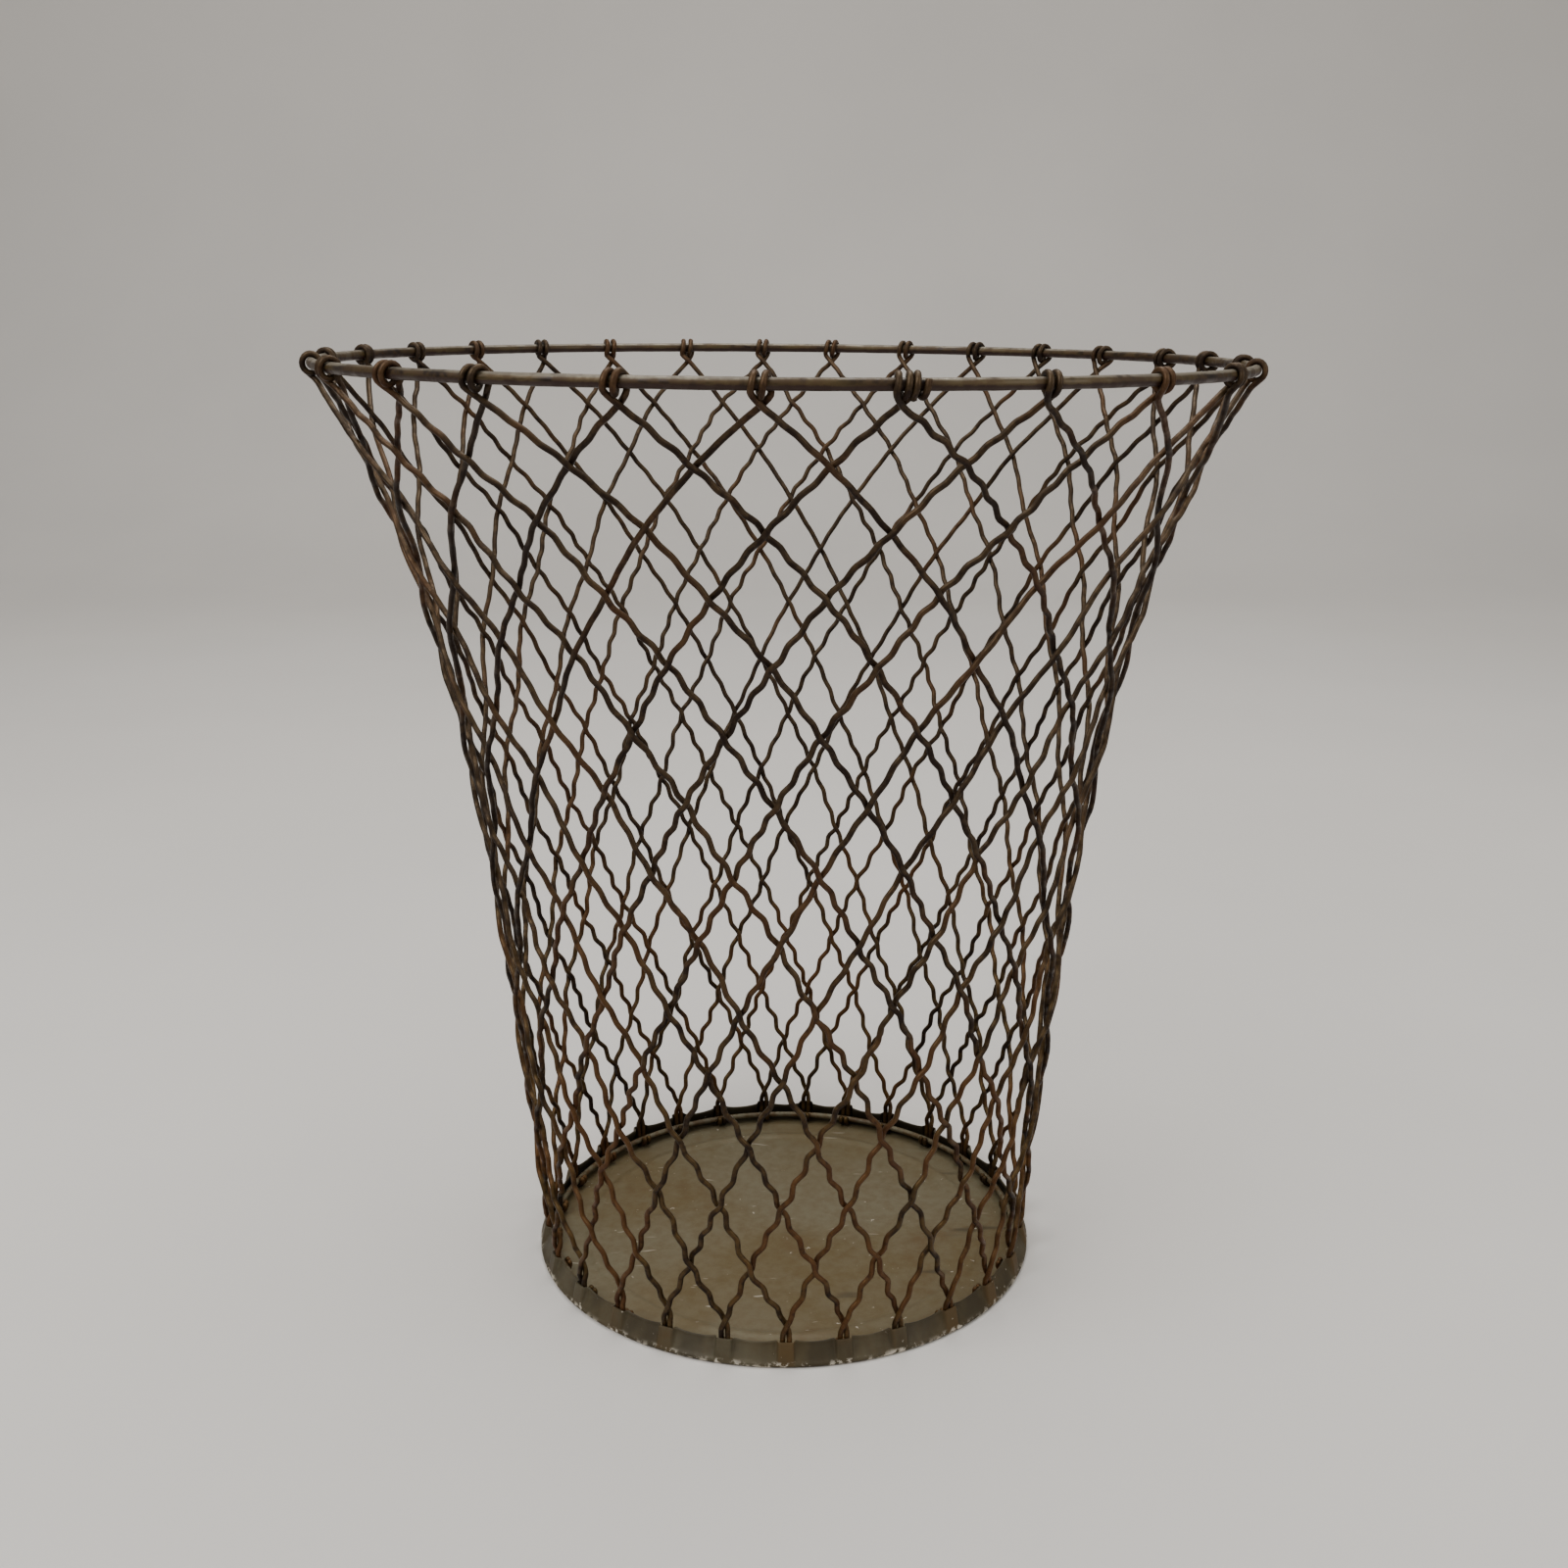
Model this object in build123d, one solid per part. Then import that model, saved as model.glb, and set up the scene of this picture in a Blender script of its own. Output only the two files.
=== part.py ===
from build123d import *
import math
import os

# Open wire wastebasket: a round rod rim, a net of hairpin wires woven over and
# under each other, and a pressed sheet-metal pan whose wall holds the wire ends
# against a hidden hoop.  Millimetres, +Z up, origin on the floor under the centre.

# Driving dimensions
RIM_RADIUS = 170.0        # centre line of the rim rod
RIM_HEIGHT = 359.5        # height of that centre line
RIM_LEAN = 0.42           # degrees; the rim dips a little towards +X
ROD_DIAMETER = 3.8
WIRE_DIAMETER = 2.1
WIRE_COUNT = 27           # hairpins, each hung once on the rim
CELL_ROWS = 14            # crossings from the rim down to the pan
HITCH_GAP = 0.15          # slack between a hairpin and the rod it is wound on
HITCH_TURN = (230, -400, -30)  # degrees round the rod: first, last, step
HITCH_PITCH = 3.1         # shift along the rod in one turn of a hairpin

# Side profile: a slow cone with a trumpet flare towards the rim
FOOT_RADIUS = 97.7
CONE_GROWTH = 36.0
FLARE_GROWTH = 37.3
FLARE_POWER = 4.7
PROFILE_HEIGHT = 360.0

# Net
FIRST_CROSSING_DROP = 6.0      # under the rim's centre line
ROW_DROP = (17.45, 0.915, -0.0313)  # growth of the drop with the row number
WEAVE_OFFSET = 1.17            # a wire's shift off the wall where two cross
CRIMP_HEIGHT = 0.7             # waviness of a wire between two crossings
CRIMP_BEND = 4.0               # bend radius at each kink
CRIMP_KINKS = ((0.0, 0.0), (0.3, 1.0), (0.7, -1.0))  # share of a row, sideways swing
CRIMP_FULL_ROW = 4             # the waviness grows down to this row
FRONT_HITCH = 267.5            # degrees, the hairpin nearest -Y
NET_TWIST = 0.18               # degrees the net turns in one row
NET_WANDER = 0.4               # degrees of hand-made unevenness

# Slow drift from even spacing, in degrees: (waves round the ring, sine, cosine)
RIM_DRIFT = ((0, 0.0, 1.2), (1, 8.7, 0.2), (2, -0.2, -0.8), (3, -0.9, -0.4))
FOOT_DRIFT = ((0, 0.0, 0.0), (1, 2.4, 0.0), (2, -2.3, 0.0), (3, 0.0, 0.0))

# Hitches that have slid along the rod: number of the hairpin and degrees
HITCH_SLIDES = {
    0: 0.35, 1: -0.85, 2: -0.5, 3: -0.7, 4: 0.3, 8: -1.5,
    14: -1.0, 15: -0.8, 24: 0.6, 25: -0.6, 26: 0.7,
}

# Binding wire on the rim
TIE_HITCH = 1                  # beside the next hairpin after the front one
TIE_TURN = (-65, 390, 35)      # degrees round the rod: first, last, step
TIE_START = 2.5                # from the middle of that hairpin, along the rod
TIE_TAIL = 1.2                 # length of its hanging cut end

# Hoop and the hooks of the wires round it
HOOP_RADIUS = 97.0
HOOP_DIAMETER = 2.4
HOOP_HEIGHT = 4.4
HOOP_GAP = 0.1
STUB_DROP = 4.6                # from the last crossing down to the hook
STUB_SWING = 0.77              # share of the weave left half way down the stub
HOOK_TURN = (20, -220, -30)    # degrees round the hoop: first, last, step
END_SPACING = 2.4              # between the two wires of a pair

# Pan
PAN_RADIUS = 102.9
PAN_SHEET = 0.7
PAN_CORNER = 1.8
LIP_RADIUS = 99.8              # outside of the wall's top edge
LIP_HEIGHT = 8.4
PLEAT_HEIGHT = 10.4
PLEAT_WIDTH = 6.8
PLEAT_RADIUS = 101.4           # outside of a pleat's top edge
PLEAT_INNER_RADIUS = 99.0
PLEAT_FOOT = 0.3               # height of a pleat's underside
BEAD_RADIUS = 82.0             # pressed ring in the floor
BEAD_WIDTH = 5.0
BEAD_HEIGHT = 0.6

ROD_RADIUS = ROD_DIAMETER / 2
WIRE_RADIUS = WIRE_DIAMETER / 2
HITCH_RADIUS = ROD_RADIUS + WIRE_RADIUS + HITCH_GAP
HOOK_RADIUS = HOOP_DIAMETER / 2 + WIRE_RADIUS + HOOP_GAP
FULL_TURN = 360.0


def wall_radius(height):
    """Radius of the net's middle surface at a height."""
    share = height / PROFILE_HEIGHT
    return FOOT_RADIUS + CONE_GROWTH * share + FLARE_GROWTH * share**FLARE_POWER


def wall_stretch(height):
    """Radial distance that gives one millimetre square to the flared wall."""
    slope = wall_radius(height + 0.5) - wall_radius(height - 0.5)
    return math.hypot(1.0, slope)


def row_height(row):
    """Height of a row of crossings, counted down from the rim."""
    linear, square, cube = ROW_DROP
    drop = linear * row + square * row**2 + cube * row**3
    return RIM_HEIGHT - FIRST_CROSSING_DROP - drop


def drift(waves, turn):
    """Drift in degrees at one place round the ring."""
    return sum(
        sine * math.sin(count * turn) + cosine * math.cos(count * turn)
        for count, sine, cosine in waves
    )


def net_angle(index, row):
    """Angle in degrees of crossing or hitch number index on a row."""
    even = FRONT_HITCH + NET_TWIST * row + FULL_TURN / WIRE_COUNT * index
    turn = math.radians(even - 270)
    depth = row / CELL_ROWS
    stray = drift(RIM_DRIFT, turn) * (1 - depth) + drift(FOOT_DRIFT, turn) * depth
    wander = NET_WANDER * math.sin(14 * math.pi * index / WIRE_COUNT + 1.9 * row)
    return even + stray + wander * depth


def slide(index, row):
    """How far a hairpin's hitch has slid, fading out down to the next row."""
    return HITCH_SLIDES.get(index, 0.0) * max(0.0, 1.0 - row)


def place(angle, radius, height, along=0.0):
    """Point at an angle, shifted along the wall, with the rim's lean added."""
    turn = math.radians(angle)
    x = radius * math.cos(turn) - along * math.sin(turn)
    y = radius * math.sin(turn) + along * math.cos(turn)
    lean = -math.tan(math.radians(RIM_LEAN)) * x * (height / RIM_HEIGHT) ** 2
    return Vector(x, y, height + lean)


def weave(row, side):
    """Shift off the wall: out on one row, in on the next, level by level."""
    if row < 1:
        return side * WEAVE_OFFSET
    return -side * WEAVE_OFFSET * math.cos(math.pi * row)


def leg_points(index, side):
    """One leg of a hairpin from its first crossing down to the pan.

    side is +1 for the leg that runs down towards growing angles, -1 for the other.
    """
    points = []
    for whole_row in range(CELL_ROWS):
        for share, swing in CRIMP_KINKS:
            row = whole_row + share
            height = row_height(row)
            angle = net_angle(index + side * row / 2, row) + slide(index, row)
            radius = wall_radius(height) + weave(row, side) * wall_stretch(height)
            shift = swing * CRIMP_HEIGHT * min(1.0, row / CRIMP_FULL_ROW)
            points.append(place(angle, radius, height, shift))
    return points


def coil_point(radius, height, coil_radius, turn, step):
    """Corner of a coil round a bar, set so that the rounded coil clears the bar."""
    reach = coil_radius / math.cos(math.radians(step / 2))
    swing = math.radians(turn)
    return radius + reach * math.cos(swing), height + reach * math.sin(swing)


def hook_points(index, side):
    """The end of a leg: last crossing, a short stub, then once round the hoop."""
    angle = net_angle(index + side * CELL_ROWS / 2, CELL_ROWS)
    cross_height = row_height(CELL_ROWS)
    cross_radius = wall_radius(cross_height) + weave(CELL_ROWS, side)
    along = side * END_SPACING / 2
    outside = HOOP_RADIUS + HOOK_RADIUS
    swing = weave(CELL_ROWS, side) * STUB_SWING
    points = [
        place(angle, cross_radius, cross_height),
        place(angle, outside + swing, cross_height - STUB_DROP / 2, along * 0.75),
        place(angle, outside, cross_height - STUB_DROP, along),
    ]
    first, last, step = HOOK_TURN
    for turn in range(first, last - 1, step):
        radius, height = coil_point(HOOP_RADIUS, HOOP_HEIGHT, HOOK_RADIUS, turn, step)
        points.append(place(angle, radius, height, along))
    return points


def hitch_points(index):
    """Two turns round the rim rod, from the inner leg over to the outer leg."""
    angle = net_angle(index, 0) + slide(index, 0)
    first, last, step = HITCH_TURN
    middle = (first + last) / 2
    points = []
    for turn in range(first, last - 1, step):
        radius, height = coil_point(RIM_RADIUS, RIM_HEIGHT, HITCH_RADIUS, turn, step)
        along = (turn - middle) / FULL_TURN * HITCH_PITCH
        points.append(place(angle, radius, height, along))
    return points


def rounded_path(points, bend_radius):
    """Straight runs through the points, joined by tangent arcs at each of them."""
    edges = []
    start = points[0]
    for before, corner, after in zip(points, points[1:], points[2:]):
        inward = corner - before
        onward = after - corner
        half_turn = math.radians(inward.get_angle(onward)) / 2
        limit = 0.48 * min(inward.length, onward.length)
        reach = min(limit, bend_radius * math.tan(half_turn))
        enter = corner - inward.normalized() * reach
        leave = corner + onward.normalized() * reach
        radius = reach / math.tan(half_turn)
        sag = radius / math.cos(half_turn) - radius
        middle = corner + ((enter + leave) / 2 - corner).normalized() * sag
        edges.append(Edge.make_line(start, enter))
        edges.append(Edge.make_three_point_arc(enter, middle, leave))
        start = leave
    edges.append(Edge.make_line(start, points[-1]))
    return Wire(edges)


def round_bar(points, diameter, bend_radius):
    """Solid round wire along a rounded path."""
    path = rounded_path(points, bend_radius)
    start = Plane(origin=path @ 0, z_dir=path % 0)
    return sweep(start * Circle(diameter / 2), path=path)


def side_wire(index):
    """One hairpin: up one leg, two turns round the rod, and down the other leg."""
    inner_leg = leg_points(index, -1) + hook_points(index, -1)
    outer_leg = leg_points(index, +1) + hook_points(index, +1)
    points = inner_leg[::-1] + hitch_points(index) + outer_leg
    return round_bar(points, WIRE_DIAMETER, CRIMP_BEND)


def rim_ring():
    """The rim: one round rod bent into a ring, leaning a little."""
    ring = Torus(RIM_RADIUS, ROD_RADIUS)
    return Pos(0, 0, RIM_HEIGHT) * Rot(0, RIM_LEAN, 0) * ring


def rim_tie_wire(index):
    """Short binding wire wound round the rod beside one hitch, with a cut end."""
    angle = net_angle(index, 0) + slide(index, 0)
    first, last, step = TIE_TURN
    points = []
    for turn in range(first, last + 1, step):
        radius, height = coil_point(RIM_RADIUS, RIM_HEIGHT, HITCH_RADIUS, turn, step)
        along = TIE_START + (turn - first) / FULL_TURN * HITCH_PITCH
        points.append(place(angle, radius, height, along))
    points.insert(0, points[0] + Vector(0, 0, -TIE_TAIL))
    return round_bar(points, WIRE_DIAMETER, CRIMP_BEND)


def base_hoop():
    """Hidden hoop that every pair of wire ends hooks round."""
    return Pos(0, 0, HOOP_HEIGHT) * Torus(HOOP_RADIUS, HOOP_DIAMETER / 2)


def pan_body():
    """Floor and leaning wall of the pan, turned from one sheet."""
    lean = Vector(LIP_RADIUS - PAN_RADIUS, LIP_HEIGHT - PAN_CORNER).normalized()
    inward = Vector(-lean.Y, lean.X) * PAN_SHEET
    lip = Vector(LIP_RADIUS, LIP_HEIGHT)
    wall_foot = Vector(PAN_RADIUS, PAN_CORNER)
    inner_lip = lip + inward
    inner_foot = wall_foot + inward
    floor_edge = PAN_RADIUS - PAN_CORNER - 0.5
    half_bead = BEAD_WIDTH / 2
    bead_in, bead_out = BEAD_RADIUS - half_bead, BEAD_RADIUS + half_bead
    with BuildSketch(Plane.XZ) as section:
        with BuildLine():
            Polyline((0, 0), (bead_in, 0))
            ThreePointArc((bead_in, 0), (BEAD_RADIUS, BEAD_HEIGHT), (bead_out, 0))
            Line((bead_out, 0), (floor_edge, 0))
            Line((floor_edge, 0), (PAN_RADIUS - 0.5, 0.6))
            Line((PAN_RADIUS - 0.5, 0.6), (wall_foot.X, wall_foot.Y))
            Line((wall_foot.X, wall_foot.Y), (lip.X, lip.Y))
            Line((lip.X, lip.Y), (inner_lip.X, inner_lip.Y))
            Line((inner_lip.X, inner_lip.Y), (inner_foot.X, inner_foot.Y))
            Line((inner_foot.X, inner_foot.Y), (floor_edge, PAN_SHEET))
            Line((floor_edge, PAN_SHEET), (bead_out, PAN_SHEET))
            ThreePointArc(
                (bead_out, PAN_SHEET),
                (BEAD_RADIUS, BEAD_HEIGHT + PAN_SHEET),
                (bead_in, PAN_SHEET),
            )
            Polyline((bead_in, PAN_SHEET), (0, PAN_SHEET), (0, 0))
        make_face()
    return revolve(section.sketch, Axis.Z)


def pleat_block(angle, inset, inner_radius, top):
    """Tapered block over one pair of wires; a larger inset gives its hollow."""
    outline = [
        (inner_radius, PLEAT_FOOT + inset),
        (PAN_RADIUS - 0.1 - inset, PLEAT_FOOT + inset),
        (PAN_RADIUS - 0.1 - inset, PAN_CORNER + inset),
        (PLEAT_RADIUS - inset, top),
        (inner_radius, top),
    ]
    with BuildSketch(Plane.XZ) as side:
        with BuildLine():
            Polyline(*outline, close=True)
        make_face()
    half_width = PLEAT_WIDTH / 2 - inset
    block = extrude(side.sketch, amount=half_width, both=True)
    return Rot(0, 0, angle) * block


def base_pan():
    """Pan with one pleat, hollow towards the net, over every pair of wires."""
    pan = pan_body()
    stations = [net_angle(number + CELL_ROWS / 2, CELL_ROWS) for number in range(WIRE_COUNT)]
    for angle in stations:
        pan += pleat_block(angle, 0, PLEAT_INNER_RADIUS, PLEAT_HEIGHT)
        pan -= pleat_block(angle, PAN_SHEET, HOOP_RADIUS, PLEAT_HEIGHT + 1)
    return pan


def save(solid, name):
    """Write one sub-part."""
    solid.label = name
    export_step(solid, f"parts/{name}.step")


if __name__ == "__main__":
    os.makedirs("parts", exist_ok=True)
    save(rim_ring(), "rim_ring")
    save(rim_tie_wire(TIE_HITCH), "rim_tie_wire")
    save(base_hoop(), "base_hoop")
    save(base_pan(), "base_pan")
    for number in range(WIRE_COUNT):
        save(side_wire(number), f"side_wire_{number + 1:02d}")
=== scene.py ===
import math
import random

import bpy
import numpy as np
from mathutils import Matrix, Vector


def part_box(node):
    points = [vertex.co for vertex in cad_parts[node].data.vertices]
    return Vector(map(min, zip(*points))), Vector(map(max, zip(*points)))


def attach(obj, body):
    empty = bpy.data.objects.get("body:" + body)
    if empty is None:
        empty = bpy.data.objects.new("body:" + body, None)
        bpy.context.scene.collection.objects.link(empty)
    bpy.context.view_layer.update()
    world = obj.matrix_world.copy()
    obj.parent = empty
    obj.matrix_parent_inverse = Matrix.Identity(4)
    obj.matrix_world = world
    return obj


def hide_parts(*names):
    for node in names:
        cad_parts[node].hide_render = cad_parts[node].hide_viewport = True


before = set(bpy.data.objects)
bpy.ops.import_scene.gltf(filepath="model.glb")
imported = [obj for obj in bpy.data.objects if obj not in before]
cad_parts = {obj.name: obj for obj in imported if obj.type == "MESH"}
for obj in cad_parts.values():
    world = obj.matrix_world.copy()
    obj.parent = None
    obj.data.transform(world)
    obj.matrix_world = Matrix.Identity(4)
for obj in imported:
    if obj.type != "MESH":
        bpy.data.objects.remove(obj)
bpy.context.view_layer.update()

bl_info = {
    "name": "Woven Wire Wastebasket",
    "version": (1, 0, 0),
    "blender": (4, 5, 0),
    "location": "View3D > Sidebar > Wastebasket",
    "description": "Builds an old wire wastebasket: rim rod, woven net, hoop and pressed pan",
    "category": "Add Mesh",
}

MM = 0.001
BODY = "root"
SEED = 27

# Sizes read from the parts in model.glb, and the rod's thickness
RIM_LOW, RIM_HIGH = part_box("rim_ring")
HOOP_LOW, HOOP_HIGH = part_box("base_hoop")
PAN_LOW, PAN_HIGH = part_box("base_pan")
ROD_DIAMETER = 3.8 * MM
RIM_RADIUS = (RIM_HIGH.y - RIM_LOW.y - ROD_DIAMETER) / 2
RIM_HEIGHT = (RIM_HIGH.z + RIM_LOW.z) / 2
RIM_DIP = (RIM_HIGH.z - RIM_LOW.z - ROD_DIAMETER) / 2 / RIM_RADIUS
HOOP_DIAMETER = HOOP_HIGH.z - HOOP_LOW.z
HOOP_RADIUS = (HOOP_HIGH.x - HOOP_LOW.x - HOOP_DIAMETER) / 2
HOOP_HEIGHT = (HOOP_HIGH.z + HOOP_LOW.z) / 2
PAN_RADIUS = (PAN_HIGH.x - PAN_LOW.x) / 2
WIRE_NODES = sorted(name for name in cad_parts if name.startswith("side_wire_"))

# Side profile of the net: a slow cone with a trumpet flare towards the rim
FOOT_RADIUS = 97.7 * MM
CONE_GROWTH = 36.0 * MM
FLARE_GROWTH = 37.3 * MM
FLARE_POWER = 4.7
PROFILE_HEIGHT = 360.0 * MM
FIRST_CROSSING_DROP = 6.0 * MM
ROW_DROP = (17.45 * MM, 0.915 * MM, -0.0313 * MM)
FRONT_HITCH = 267.5

# Slow drift from even spacing, in degrees: (waves round the ring, sine, cosine)
RIM_DRIFT = ((0, 0.0, 1.2), (1, 8.7, 0.2), (2, -0.2, -0.8), (3, -0.9, -0.4))
FOOT_DRIFT = ((0, 0.0, 0.0), (1, 2.4, 0.0), (2, -2.3, 0.0), (3, 0.0, 0.0))

# Hitches that have slid along the rod: number of the hairpin and degrees
HITCH_SLIDES = {
    0: 0.35, 1: -0.85, 2: -0.5, 3: -0.7, 4: 0.3, 8: -1.5,
    14: -1.0, 15: -0.8, 24: 0.6, 25: -0.6, 26: 0.7,
}

# Windings round the rod and hooks round the hoop, with their turns in degrees
HITCH_TURN = (230, -400)
HITCH_GAP = 0.07 * MM
HITCH_SAG = 0.25 * MM
TIE_HITCH = 1
TIE_TURN = (-65, 395)
TIE_START = 2.5 * MM
TIE_TAIL = 1.2 * MM
HOOK_TURN = (20, -220)
HOOP_GAP = 0.1 * MM
END_SPACING = 2.4 * MM
STUB_DROP = 4.6 * MM
STUB_SWING = 0.77

# Waves left in the wires, growing from the rim down
WAVE_STRENGTHS = (0.1, 0.3, 0.5, 0.65, 0.8, 0.95)
WAVE_STRENGTH_LOW_DOWN = 0.95
WAVE_GROWTH_HEIGHT = 300 * MM
WAVE_FADE = 9 * MM

# Pan's section: the wall rises from its foot and leans in, less so in the pleats
WALL_START = 1.4 * MM
WALL_LEAN = 3.8 * MM
PLEAT_LEAN = 1.6 * MM
PLEAT_SETBACK = 0.15 * MM
FOOT_CURVE = ((2.6, 0.0), (1.5, 0.05), (0.6, 0.3), (0.12, 0.8))
WALL_STRAY = 0.12 * MM
BEAD_RADIUS = 82.0 * MM
BEAD_HALF_WIDTH = 2.5 * MM
FLOOR_RIM_RADII = (99.0, 97.0, 94.0, 91.0, 88.0, 86.0)
FLOOR_RADII = (78.0, 74.0, 68.0, 60.0, 50.0, 38.0, 26.0, 14.0, 5.0)
PAN_STEPS = 27 * 48

# Camera
CAMERA_PLACE = (0.0, -0.6648, 0.3835)
CAMERA_TILT = math.radians(74.28)


# ---------------------------------------------------------------- settings

def length(name, description, millimetres):
    """A length property with its default in millimetres."""
    return bpy.props.FloatProperty(
        name=name, description=description, default=millimetres * MM,
        min=0.0, precision=5, subtype="DISTANCE", unit="LENGTH")


def amount(name, description, default, low=0.0, high=1.0):
    """A plain number between two limits."""
    return bpy.props.FloatProperty(
        name=name, description=description, default=default, min=low, max=high)


def tint(name, description, red, green, blue):
    """A colour property."""
    return bpy.props.FloatVectorProperty(
        name=name, description=description, default=(red, green, blue),
        size=3, min=0.0, max=1.0, subtype="COLOR")


class BasketSizes(bpy.types.PropertyGroup):
    """Sizes of the basket's pieces."""
    wire_diameter: length("Wire", "Thickness of the net's wires", 2.1)
    rod_unevenness: length("Rod unevenness", "How far the rod strays from a true ring", 0.2)
    hitch_pitch: length("Hitch pitch", "Shift along the rod in one turn of a wire", 3.15)
    weave_offset: length("Weave offset", "A wire's shift off the wall at a crossing", 1.15)
    crimp_height: length("Crimp height", "Height of the waves left in the wires", 0.75)
    crimp_length: length("Crimp length", "Length of one wave in the wires", 11.2)
    rows: bpy.props.IntProperty(
        name="Rows", description="Rows of crossings from rim to pan", default=14, min=4)
    twist: bpy.props.FloatProperty(
        name="Twist", description="Turn of the net in one row",
        default=math.radians(0.18), subtype="ANGLE", unit="ROTATION")
    wander: bpy.props.FloatProperty(
        name="Wander", description="Unevenness of the hand-made net",
        default=math.radians(0.4), subtype="ANGLE", unit="ROTATION")
    sheet: length("Sheet", "Thickness of the pan's sheet metal", 0.7)
    lip_height: length("Lip height", "Height of the pan's wall between two pleats", 8.3)
    pleat_height: length("Pleat height", "Height of the pleats in the pan's wall", 9.6)
    pleat_width: length("Pleat width", "Width of a pleat over a pair of wires", 6.4)
    bead_height: length("Bead height", "Height of the pressed ring in the floor", 0.6)


class BasketFinish(bpy.types.PropertyGroup):
    """Colours of the basket's metals."""
    # Wire dark is oxide in the hollows and also painted shade under the wires; wire olive is wear
    # and also their painted highlight on top.
    wire_dark: tint("Wire dark", "Oxide in the hollows of the wire", 0.013, 0.005, 0.0015)
    wire_olive: tint("Wire olive", "Worn oxide on the wire", 0.098, 0.056, 0.014)
    wire_grey: tint("Wire grey", "Duller wire near the rim", 0.074, 0.045, 0.019)
    wire_rust: tint("Wire rust", "Rust on the wire, mostly low down", 0.095, 0.032, 0.008)
    # Rod grey is bare metal from wear and also the painted highlight on top of the rod.
    rod_grey: tint("Rod grey", "Bare worn metal on top of the rod", 0.170, 0.145, 0.105)
    rod_gold: tint("Rod gold", "Old lacquer on the rod", 0.060, 0.040, 0.014)
    # Rod rust also serves as painted shade under the rod.
    rod_rust_and_shade: tint("Rod rust", "Rust under the rod", 0.022, 0.008, 0.004)
    pan_grey: tint("Pan grey", "Dull sheet of the pan", 0.128, 0.110, 0.064)
    pan_olive: tint("Pan olive", "Browner clouds on the sheet", 0.108, 0.079, 0.033)
    pan_stain: tint("Pan stain", "Brown stains on the sheet", 0.085, 0.048, 0.014)
    # This colour is soiling on the pan's wall and also painted shade there, darkest on the
    # inside.
    pan_grime_and_shade: tint("Pan grime", "Dirt on the pan's wall", 0.020, 0.014, 0.005)
    pan_chip: tint("Pan chip", "Pale flakes and scratches", 0.520, 0.470, 0.380)


class BasketStage(bpy.types.PropertyGroup):
    """Floor, light and camera."""
    floor: tint("Floor", "Colour of the plain floor", 0.640, 0.610, 0.570)
    light: amount("Light", "Strength of the main light", 34.0, 0.0, 500.0)
    focal_length: amount("Focal length", "Camera focal length in millimetres", 39.94, 10.0, 200.0)


# ---------------------------------------------------------------- the net's geometry

def wall_radius(height):
    """Radius of the net's middle surface at a height."""
    share = height / PROFILE_HEIGHT
    return FOOT_RADIUS + CONE_GROWTH * share + FLARE_GROWTH * share**FLARE_POWER


def row_height(row):
    """Height of a row of crossings, counted down from the rim."""
    linear, square, cube = ROW_DROP
    return RIM_HEIGHT - FIRST_CROSSING_DROP - linear * row - square * row**2 - cube * row**3


def wall_stretch(height):
    """Radial distance that gives one unit square to the flared wall."""
    slope = (wall_radius(height + 0.5 * MM) - wall_radius(height - 0.5 * MM)) / MM
    return math.hypot(1.0, slope)


def drift(waves, turn):
    """Drift in radians at one place round the ring."""
    return math.radians(sum(
        sine * math.sin(count * turn) + cosine * math.cos(count * turn)
        for count, sine, cosine in waves))


def net_angle(sizes, index, row):
    """Angle in radians of crossing or hitch number index on a row."""
    even = math.radians(FRONT_HITCH) + sizes.twist * row + 2 * math.pi / len(WIRE_NODES) * index
    turn = even - math.radians(270)
    depth = row / sizes.rows
    stray = drift(RIM_DRIFT, turn) * (1 - depth) + drift(FOOT_DRIFT, turn) * depth
    wander = sizes.wander * math.sin(14 * math.pi * index / len(WIRE_NODES) + 1.9 * row)
    return even + stray + wander * depth


def slide(index, row):
    """How far a hairpin's hitch has slid, fading out down to the next row."""
    return math.radians(HITCH_SLIDES.get(index, 0.0)) * max(0.0, 1.0 - row)


def place(angle, radius, height, along=0.0):
    """Point at an angle, shifted along the wall, with the rim's dip added."""
    x = radius * math.cos(angle) - along * math.sin(angle)
    y = radius * math.sin(angle) + along * math.cos(angle)
    return (x, y, height - RIM_DIP * x * (height / RIM_HEIGHT) ** 2)


def weave(sizes, row, side):
    """Shift off the wall: out on one row, in on the next."""
    if row < 1:
        return side * sizes.weave_offset
    return -side * sizes.weave_offset * math.cos(math.pi * row)


def leg_points(sizes, index, side):
    """One leg of a hairpin from under the rim down to its last crossing."""
    steps_per_row = 4
    points = []
    for step in range(1, sizes.rows * steps_per_row + 1):
        row = step / steps_per_row
        height = row_height(row)
        angle = net_angle(sizes, index + side * row / 2, row) + slide(index, row)
        shift = weave(sizes, row, side) * wall_stretch(height)
        points.append(place(angle, wall_radius(height) + shift, height))
    return points


def crossing_under_rim(sizes, index, side):
    """Where the two legs of one hairpin cross below the rod."""
    height = row_height(0)
    shift = weave(sizes, 0, side) * wall_stretch(height)
    angle = net_angle(sizes, index, 0) + slide(index, 0)
    return [place(angle, wall_radius(height) + shift, height)]


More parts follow.
